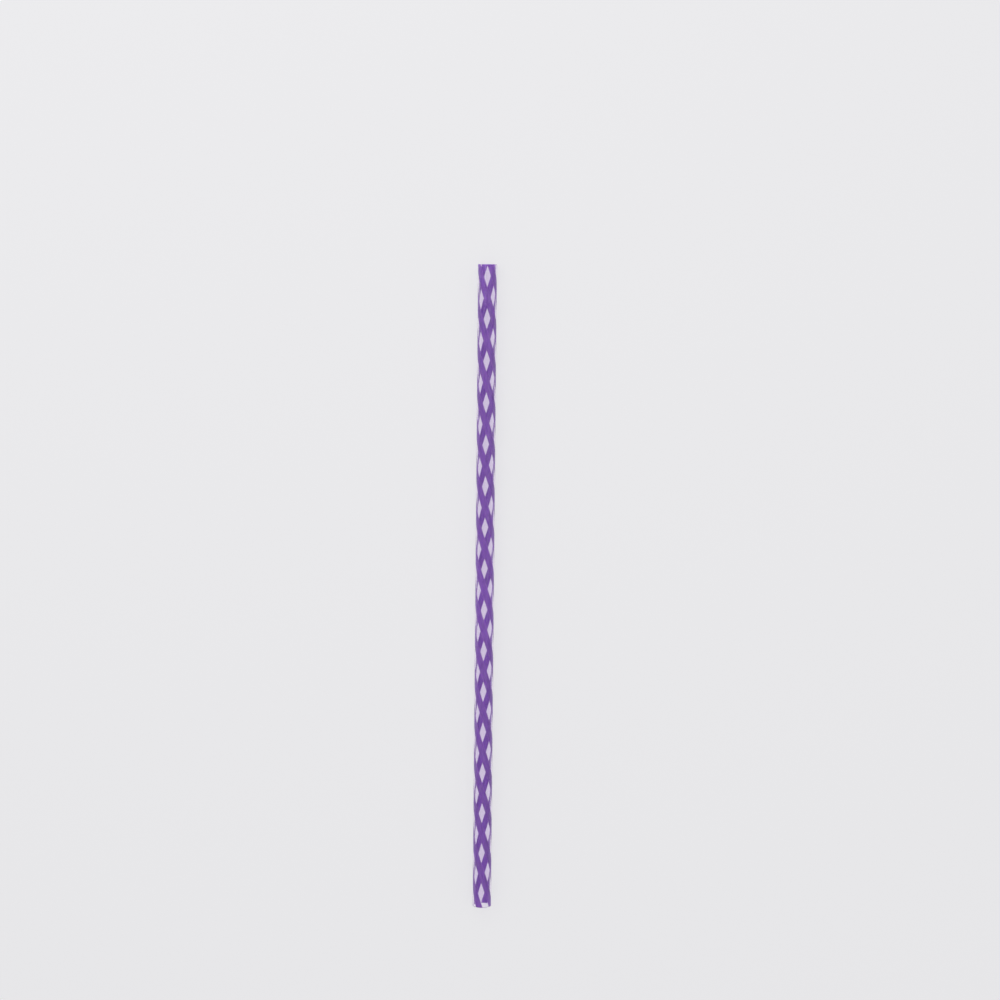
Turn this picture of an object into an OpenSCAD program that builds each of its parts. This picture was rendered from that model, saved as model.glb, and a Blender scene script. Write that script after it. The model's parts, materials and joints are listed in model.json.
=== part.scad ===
// Reusable drinking straw: a straight tube of clear hard plastic, with
// coloured stripes drawn into its wall as left-handed helices.
// It lies along Y on the plane z = 0, with the origin under its middle.

/* [Tube] */
// Length from end to end
straw_length = 255; // [150:1:300]
// Outside diameter
outer_diameter = 7.4; // [6:0.1:12]
// Thickness of the wall
wall_thickness = 0.45; // [0.4:0.01:1.2]

/* [Stripes] */
// Number of stripes around the tube
stripe_count = 4; // [1:1:6]
// Width of a stripe, measured around the outside of the tube
stripe_width = 2.9; // [0.8:0.1:4.4]
// Depth of a stripe in the wall, from the outside
stripe_depth = 0.3; // [0.15:0.01:0.33]
// Length of tube in which a stripe goes once around
stripe_lead = 65.4; // [50:0.1:160]
// Distance from the +Y end to the first place where a clear band lies on top
first_clear_band = 4.6; // [0:0.1:16]

/* [Hidden] */

// Roundness of the tube's own circles
tube_segments = 96;

// Radii of the wall and of the bottom of the stripes
outer_r = outer_diameter / 2;
bore_r = outer_r - wall_thickness;
stripe_floor_r = outer_r - stripe_depth;

// Angles of the stripes: the width of one, the step from one to the next, and
// the angle about the tube's own axis that faces up once the tube lies down
stripe_angle = 360 * stripe_width / (PI * outer_diameter);
stripe_step = 360 / stripe_count;
up_angle = 270;

// The stripes are drawn past the tube's surface and past both its ends, and
// trimmed to it, so that a stripe is flush and shares every face of its groove
overrun = 1;
run_length = straw_length + 2 * overrun;
run_twist = 360 * run_length / stripe_lead;
clear_band_height = overrun + straw_length - first_clear_band;
run_turn = up_angle + stripe_step / 2 + 360 * clear_band_height / stripe_lead;

// Widest angle between neighbouring facets of a stripe
facet_angle = 16.5;
arc_steps = ceil(stripe_angle / facet_angle);
run_slices = ceil(run_twist / facet_angle);

// Points along an arc about the origin
function arc_points(r, from, to) =
    [for (i = [0 : arc_steps]) let (a = from + (to - from) * i / arc_steps) r * [cos(a), sin(a)]];

// Section of all the stripes, across the tube
module stripe_sections() {
    half = stripe_angle / 2;
    for (k = [0 : stripe_count - 1])
        rotate(k * stripe_step)
            polygon(concat(
                arc_points(outer_r + overrun, -half, half),
                arc_points(stripe_floor_r, half, -half)
            ));
}

// The stripes wound along Z, before they are trimmed
module stripe_run() {
    translate([0, 0, -overrun])
        rotate(run_turn)
            linear_extrude(height = run_length, twist = run_twist, slices = run_slices)
                stripe_sections();
}

// Lays a straw that was drawn along Z on the plane z = 0, along Y
module lay_down() {
    translate([0, -straw_length / 2, outer_r])
        rotate([-90, 0, 0])
            children();
}

// The clear tube, with its bore and a groove for each stripe
module clear_tube() {
    color([0.88, 0.85, 0.93, 0.45])
        lay_down()
            difference() {
                cylinder(r = outer_r, h = straw_length, $fn = tube_segments);
                translate([0, 0, -overrun])
                    cylinder(r = bore_r, h = run_length, $fn = tube_segments);
                stripe_run();
            }
}

// The coloured stripes, flush with the tube's outside and with both its ends
module stripes() {
    color([0.47, 0.31, 0.61])
        lay_down()
            intersection() {
                stripe_run();
                cylinder(r = outer_r, h = straw_length, $fn = tube_segments);
            }
}

clear_tube();
stripes();
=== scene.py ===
import json
from math import atan2, cos, hypot, pi, radians, sin, tau

import bmesh
import bpy
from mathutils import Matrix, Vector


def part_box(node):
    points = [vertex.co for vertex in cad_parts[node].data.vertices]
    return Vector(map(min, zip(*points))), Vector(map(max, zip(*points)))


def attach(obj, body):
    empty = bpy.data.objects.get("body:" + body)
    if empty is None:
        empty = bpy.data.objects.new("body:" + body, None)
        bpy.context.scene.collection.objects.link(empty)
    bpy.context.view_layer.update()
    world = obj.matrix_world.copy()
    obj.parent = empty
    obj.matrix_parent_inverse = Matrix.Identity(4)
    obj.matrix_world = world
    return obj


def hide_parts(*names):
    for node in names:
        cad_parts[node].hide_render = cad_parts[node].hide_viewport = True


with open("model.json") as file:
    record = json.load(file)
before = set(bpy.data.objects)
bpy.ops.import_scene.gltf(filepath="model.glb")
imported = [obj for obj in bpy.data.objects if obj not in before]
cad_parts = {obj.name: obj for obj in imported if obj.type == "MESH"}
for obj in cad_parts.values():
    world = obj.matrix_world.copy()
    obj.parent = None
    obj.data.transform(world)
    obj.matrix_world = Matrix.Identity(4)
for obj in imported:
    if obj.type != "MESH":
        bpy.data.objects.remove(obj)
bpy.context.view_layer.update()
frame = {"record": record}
mm = 0.001

# the straw as it was packed: it lies along Y on the floor, and its bore is a mount in the record
tubeLow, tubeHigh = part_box("clear_tube")
boreMount = next(m for m in frame["record"]["mounts"] if m["name"] == "bore")
straw = {
    "length": tubeHigh.y - tubeLow.y,
    "outerR": (tubeHigh.x - tubeLow.x) / 2,
    "boreR": boreMount["dims"]["r_mm"] * mm,
    "axisZ": boreMount["pos_m"][2],
    "floorZ": tubeLow.z,
}
print("frame loaded, straw length", round(straw["length"] / mm, 1), "mm")


# mesh helpers
def onTube(radius, angle, y):
    return (radius * cos(angle), y, straw["axisZ"] + radius * sin(angle))  # angle 0 is +X, a quarter turn is up


def spread(low, high, steps, margin):
    # even steps from low to high, with one more point close to each end to keep the shading flat
    inner = [low + margin + (high - low - 2 * margin) * i / steps for i in range(steps + 1)]
    return [low] + inner + [high]


def roundedBox(halfWide, halfDeep, corner, wideSteps, deepSteps, cornerSteps=5):
    # closed outline round a box with rounded corners, anticlockwise from the right side
    wide = spread(corner - halfWide, halfWide - corner, wideSteps, corner)
    deep = spread(corner - halfDeep, halfDeep - corner, deepSteps, corner / 2)
    sides = [
        [(halfWide, d) for d in deep],
        [(w, halfDeep) for w in reversed(wide)],
        [(-halfWide, d) for d in reversed(deep)],
        [(w, -halfDeep) for w in wide],
    ]
    outline = []
    for k, side in enumerate(sides):
        outline += side
        turn = k * pi / 2
        quarter = ((1, 1), (-1, 1), (-1, -1), (1, -1))[k]
        centreW = quarter[0] * (halfWide - corner)
        centreD = quarter[1] * (halfDeep - corner)
        for i in range(1, cornerSteps):
            a = turn + pi / 2 * i / cornerSteps
            outline.append((centreW + corner * cos(a), centreD + corner * sin(a)))
    return outline


def skinRings(name, rings, ringUvs, joined):
    # quads between neighbouring rings, which meet end to end or are closed with a cap
    count = len(rings[0])
    points = [p for ring in rings for p in ring]
    uvs = [uv for ring in ringUvs for uv in ring]
    faces = []
    for j in range(len(rings) if joined else len(rings) - 1):
        here, there = j * count, (j + 1) % len(rings) * count
        for i in range(count):
            k = (i + 1) % count
            faces.append((here + i, here + k, there + k, there + i))
    if not joined:
        faces.append(tuple(range(count)))
        faces.append(tuple(range(len(points) - count, len(points))))
    mesh = bpy.data.meshes.new(name)
    mesh.from_pydata(points, [], faces)
    layer = mesh.uv_layers.new(name="UVMap")
    for loop in mesh.loops:
        layer.data[loop.index].uv = uvs[loop.vertex_index]
    bm = bmesh.new()
    bm.from_mesh(mesh)
    bmesh.ops.recalc_face_normals(bm, faces=bm.faces)
    for face in bm.faces:
        face.smooth = len(face.verts) == 4
    bm.to_mesh(mesh)
    bm.free()
    piece = bpy.data.objects.new(name, mesh)
    bpy.context.scene.collection.objects.link(piece)
    return piece


# node helpers
def newMaterial(name):
    mat = bpy.data.materials.new(name)
    mat.use_nodes = True
    mat.node_tree.nodes.clear()
    return mat


def addNode(tree, kind, settings=(), **values):
    node = tree.nodes.new(kind)
    for key, value in dict(settings).items():
        setattr(node, key, value)
    for key, value in values.items():
        node.inputs[key.replace("_", " ")].default_value = value
    return node


def addMath(tree, operation, a, b=None):
    node = addNode(tree, "ShaderNodeMath", {"operation": operation})
    for socket, value in zip(node.inputs, (a, b)):
        if isinstance(value, bpy.types.NodeSocket):
            tree.links.new(value, socket)
        elif value is not None:
            socket.default_value = value
    return node.outputs[0]


def newGroup(name, inputs, outputs):
    group = bpy.data.node_groups.new(name, "ShaderNodeTree")
    for label, kind, value in inputs:
        socket = group.interface.new_socket(label, in_out="INPUT", socket_type=kind)
        socket.default_value = value
    for label, kind in outputs:
        group.interface.new_socket(label, in_out="OUTPUT", socket_type=kind)
    return group, group.nodes.new("NodeGroupInput"), group.nodes.new("NodeGroupOutput")


def useGroup(tree, group, **values):
    node = tree.nodes.new("ShaderNodeGroup")
    node.node_tree = group
    for key, value in values.items():
        node.inputs[key.replace("_", " ")].default_value = value
    return node


def dieLinesGroup():
    # faint lines that the die leaves along the tube, and the slow waver of its surface
    group, given, out = newGroup(
        "dieLines",
        [
            ("Line Scale", "NodeSocketFloat", 2600.0),
            ("Stretch", "NodeSocketFloat", 0.004),
            ("Waver Scale", "NodeSocketFloat", 60.0),
        ],
        [("Lines", "NodeSocketFloat"), ("Waver", "NodeSocketFloat")],
    )
    links = group.links
    where = addNode(group, "ShaderNodeTexCoord")
    squeeze = addNode(group, "ShaderNodeCombineXYZ", X=1.0, Z=1.0)
    links.new(given.outputs["Stretch"], squeeze.inputs["Y"])
    along = addNode(group, "ShaderNodeVectorMath", {"operation": "MULTIPLY"})
    links.new(where.outputs["Object"], along.inputs[0])
    links.new(squeeze.outputs[0], along.inputs[1])
    fine = addNode(group, "ShaderNodeTexNoise", Detail=3.0, Roughness=0.6)
    links.new(along.outputs[0], fine.inputs["Vector"])
    links.new(given.outputs["Line Scale"], fine.inputs["Scale"])
    links.new(fine.outputs["Fac"], out.inputs["Lines"])
    slow = addNode(group, "ShaderNodeTexNoise", Detail=2.0, Roughness=0.5)
    links.new(where.outputs["Object"], slow.inputs["Vector"])
    links.new(given.outputs["Waver Scale"], slow.inputs["Scale"])
    links.new(slow.outputs["Fac"], out.inputs["Waver"])
    return group


def cutEndGroup():
    # 1 on the sawn end faces, 0 along the tube
    group, given, out = newGroup(
        "cutEnd",
        [("Half Length", "NodeSocketFloat", 0.1), ("Depth", "NodeSocketFloat", 0.0001)],
        [("Mask", "NodeSocketFloat")],
    )
    where = addNode(group, "ShaderNodeTexCoord")
    parts = addNode(group, "ShaderNodeSeparateXYZ")
    group.links.new(where.outputs["Object"], parts.inputs[0])
    far = addMath(group, "ABSOLUTE", parts.outputs["Y"])
    start = addMath(group, "SUBTRACT", given.outputs["Half Length"], given.outputs["Depth"])
    past = addMath(group, "SUBTRACT", far, start)
    share = addMath(group, "DIVIDE", past, given.outputs["Depth"])
    held = addNode(group, "ShaderNodeClamp")
    group.links.new(share, held.inputs[0])
    group.links.new(held.outputs[0], out.inputs["Mask"])
    return group


dieLines = dieLinesGroup()
cutEnd = cutEndGroup()

# clear tube
tube = {
    "rim": 0.08 * mm,  # rounding left on the cut edges
    "around": 160,
    "along": 60,
    # painted light: this lavender tint stands in for purple light bounced from the stripes inside the tube
    "paintedBounceTint": (0.945, 0.89, 1, 1),
    "ior": 1.5,
    "gloss": (0.015, 0.07),
    "cutRoughness": 0.45,
    "bump": 0.06,
    "bumpDepth": 0.05 * mm,
}


def clearPlastic():
    mat = newMaterial("clearPlastic")
    tree, links = mat.node_tree, mat.node_tree.links
    lines = useGroup(tree, dieLines)
    ends = useGroup(tree, cutEnd, Half_Length=straw["length"] / 2, Depth=tube["rim"])
    gloss = addNode(tree, "ShaderNodeMapRange", To_Min=tube["gloss"][0], To_Max=tube["gloss"][1])
    links.new(lines.outputs["Lines"], gloss.inputs["Value"])
    sawn = addNode(tree, "ShaderNodeMix", {"data_type": "FLOAT"})
    links.new(ends.outputs["Mask"], sawn.inputs["Factor"])
    links.new(gloss.outputs[0], sawn.inputs["A"])
    sawn.inputs["B"].default_value = tube["cutRoughness"]
    height = addMath(tree, "ADD", lines.outputs["Lines"], lines.outputs["Waver"])
    bump = addNode(tree, "ShaderNodeBump", Strength=tube["bump"], Distance=tube["bumpDepth"])
    links.new(height, bump.inputs["Height"])
    # the tube's base colour and the light it lets through carry the painted lavender bounce
    body = addNode(tree, "ShaderNodeBsdfPrincipled", Base_Color=tube["paintedBounceTint"], IOR=tube["ior"])
    body.inputs["Transmission Weight"].default_value = 1
    links.new(sawn.outputs[0], body.inputs["Roughness"])
    links.new(bump.outputs[0], body.inputs["Normal"])
    # lamps reach the stripes and the floor through the tube
    ray = addNode(tree, "ShaderNodeLightPath")
    through = addNode(tree, "ShaderNodeBsdfTransparent", Color=tube["paintedBounceTint"])
    pick = addNode(tree, "ShaderNodeMixShader")
    links.new(ray.outputs["Is Shadow Ray"], pick.inputs[0])
    links.new(body.outputs[0], pick.inputs[1])
    links.new(through.outputs[0], pick.inputs[2])
    out = addNode(tree, "ShaderNodeOutputMaterial")
    links.new(pick.outputs[0], out.inputs["Surface"])
    return mat


def makeTube():
    halfWall = (straw["outerR"] - straw["boreR"]) / 2
    middleR = straw["outerR"] - halfWall
    outline = roundedBox(halfWall, straw["length"] / 2, tube["rim"], 1, tube["along"])
    rings, uvs = [], []
    for j in range(tube["around"]):
        angle = tau * j / tube["around"]
        rings.append([onTube(middleR + w, angle, y) for w, y in outline])
        uvs.append([(j / tube["around"], y / straw["length"] + 0.5) for w, y in outline])
    piece = skinRings("clear_tube_wall", rings, uvs, joined=True)
    piece.data.materials.append(clearPlastic())
    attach(piece, "root")
    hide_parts("clear_tube")


makeTube()
print("clear tube made")

# coloured stripes, left-handed: seen from above they fall from the left to the right
stripe = {
    "count": 4,
    "width": 2.9 * mm,  # around the outside of the tube
    "lead": 65.4 * mm,
    "firstClearBand": 4.6 * mm,  # from the +Y end to the clear band that first lies on top
    "skin": 0.03 * mm,  # clear plastic over the stripe
    "depth": 0.3 * mm,
    "corner": 0.09 * mm,
    "endGap": 0.01 * mm,
    "stepsPerTurn": 90,
    "deep": (0.29, 0.145, 0.56, 1),
    "pale": (0.375, 0.205, 0.68, 1),
    "roughness": (0.25, 0.42),
    "shine": 0.25,
    "reach": (1.2, 0.8, 1.5),  # how far red, green and blue light spread in the stripe
    "scatter": 1.4 * mm,
    "streaks": (9, 0.6, 1),  # streaks drawn out along the stripe
    "streakRange": (0.3, 0.7),
    "streakShift": 5,  # each stripe has streaks of its own
}


def stripeAngle(k, y):
    bandY = straw["length"] / 2 - stripe["firstClearBand"]
    return pi / 2 + tau * ((k + 0.5) / stripe["count"] + (y - bandY) / stripe["lead"])


def purplePlastic():
    mat = newMaterial("purplePlastic")
    tree, links = mat.node_tree, mat.node_tree.links
    where = addNode(tree, "ShaderNodeTexCoord")
    flow = addNode(tree, "ShaderNodeVectorMath", {"operation": "MULTIPLY"})
    flow.inputs[1].default_value = stripe["streaks"]
    links.new(where.outputs["UV"], flow.inputs[0])
    streaks = addNode(tree, "ShaderNodeTexNoise", Scale=1.0, Detail=4.0, Roughness=0.55)
    links.new(flow.outputs[0], streaks.inputs["Vector"])
    faint, full = stripe["streakRange"]
    shade = addNode(tree, "ShaderNodeMapRange", From_Min=faint, From_Max=full)
    links.new(streaks.outputs["Fac"], shade.inputs["Value"])
    colour = addNode(tree, "ShaderNodeMix", {"data_type": "RGBA"})
    colour.inputs["A"].default_value = stripe["deep"]
    colour.inputs["B"].default_value = stripe["pale"]
    links.new(shade.outputs[0], colour.inputs["Factor"])
    low, high = stripe["roughness"]
    rough = addNode(tree, "ShaderNodeMapRange", To_Min=low, To_Max=high)
    links.new(streaks.outputs["Fac"], rough.inputs["Value"])
    body = addNode(tree, "ShaderNodeBsdfPrincipled", Specular_IOR_Level=stripe["shine"])
    links.new(colour.outputs[2], body.inputs["Base Color"])
    links.new(rough.outputs[0], body.inputs["Roughness"])
    # light from behind comes through the thin stripe
    body.inputs["Subsurface Weight"].default_value = 1
    body.inputs["Subsurface Radius"].default_value = stripe["reach"]
    body.inputs["Subsurface Scale"].default_value = stripe["scatter"]
    out = addNode(tree, "ShaderNodeOutputMaterial")
    links.new(body.outputs[0], out.inputs["Surface"])
    return mat


def makeStripes():
    mat = purplePlastic()
    outline = roundedBox(stripe["width"] / 2, stripe["depth"] / 2, stripe["corner"], 10, 1)
    middleR = straw["outerR"] - stripe["skin"] - stripe["depth"] / 2
    run = straw["length"] - 2 * stripe["endGap"]
    steps = round(stripe["stepsPerTurn"] * run / stripe["lead"])
    for k in range(stripe["count"]):
        rings, uvs = [], []
        for j in range(steps + 1):
            y = run * (j / steps - 0.5)
            centre = stripeAngle(k, y)
            rings.append([onTube(middleR + d, centre + w / straw["outerR"], y) for w, d in outline])
            shift = k * stripe["streakShift"]
            uvs.append([(w / stripe["width"] + 0.5, shift + y / stripe["width"]) for w, d in outline])
        piece = skinRings(f"purple_stripe_{k + 1}", rings, uvs, joined=False)
        piece.data.materials.append(mat)
        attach(piece, "root")
        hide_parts("stripes")


makeStripes()
print("stripes made")

# pale floor that glows as a light table: its painted glow lights the stripes from below and fills in the
# straw's shadow on it
floor = {
    "size": 16,
    "colour": (0.25, 0.25, 0.254, 1),
    "roughness": 0.6,
    "shine": 0.1,
    "light": (0.982, 0.978, 1, 1),
    "glow": 0.66,
}


def glowingFloor():
    mat = newMaterial("glowingFloor")
    tree, links = mat.node_tree, mat.node_tree.links
    body = addNode(tree, "ShaderNodeBsdfPrincipled", Base_Color=floor["colour"], Roughness=floor["roughness"])
    body.inputs["Specular IOR Level"].default_value = floor["shine"]
    # painted light: the floor glows though it is no lamp, so it stays bright in the straw's shadow
    body.inputs["Emission Color"].default_value = floor["light"]
    body.inputs["Emission Strength"].default_value = floor["glow"]
    out = addNode(tree, "ShaderNodeOutputMaterial")
    links.new(body.outputs[0], out.inputs["Surface"])
    return mat


def makeFloor():
    half = floor["size"] / 2
    corners = [(x, y, straw["floorZ"]) for x, y in ((-half, -half), (half, -half), (half, half), (-half, half))]
    mesh = bpy.data.meshes.new("floor")
    mesh.from_pydata(corners, [], [(0, 1, 2, 3)])
    sheet = bpy.data.objects.new("floor", mesh)
    bpy.context.scene.collection.objects.link(sheet)
    sheet.data.materials.append(glowingFloor())


makeFloor()

# soft studio light
lights = {
    "room": 0.42,
    "white": (1, 1, 1, 1),
    "softbox": {"size": 0.8, "at": (-0.2, 0.5, 0.6), "power": 2.2},
    "fill": {"size": 0.8, "at": (0.6, 0.2, 0.7), "power": 0.5},
}


def aimAt(thing, target=(0, 0, 0)):
    dx, dy, dz = (t - p for t, p in zip(target, thing.location))
    thing.rotation_euler = (atan2(hypot(dx, dy), -dz), 0, atan2(-dx, dy) if dx or dy else 0)


def makeLights():
    world = bpy.data.worlds.new("room")
    world.use_nodes = True
    background = world.node_tree.nodes["Background"]
    background.inputs["Strength"].default_value = lights["room"]
    background.inputs["Color"].default_value = lights["white"]
    bpy.context.scene.world = world
    for name in ("softbox", "fill"):
        given = lights[name]
        lamp = bpy.data.lights.new(name, "AREA")
        lamp.shape = "SQUARE"
        lamp.size = given["size"]
        lamp.energy = given["power"]
        lampObject = bpy.data.objects.new(name, lamp)
        bpy.context.scene.collection.objects.link(lampObject)
        lampObject.location = given["at"]
        aimAt(lampObject)


makeLights()
print("floor and lights made")

# camera above the straw, leaning a little toward its foot so that the top is nearer
camera = {"at": (0.0049, 0.1194, 0.8), "lean": 6, "roll": 0.556, "lens": 73.5, "sensor": 36}


def makeCamera():
    lens = bpy.data.cameras.new("camera")
    lens.sensor_width = camera["sensor"]
    lens.lens = camera["lens"]
    cameraObject = bpy.data.objects.new("camera", lens)
    bpy.context.scene.collection.objects.link(cameraObject)
    cameraObject.location = camera["at"]
    cameraObject.rotation_euler = (-radians(camera["lean"]), 0, radians(camera["roll"]))
    bpy.context.scene.camera = cameraObject


makeCamera()
bpy.context.scene.view_settings.view_transform = "Standard"
print("camera made")
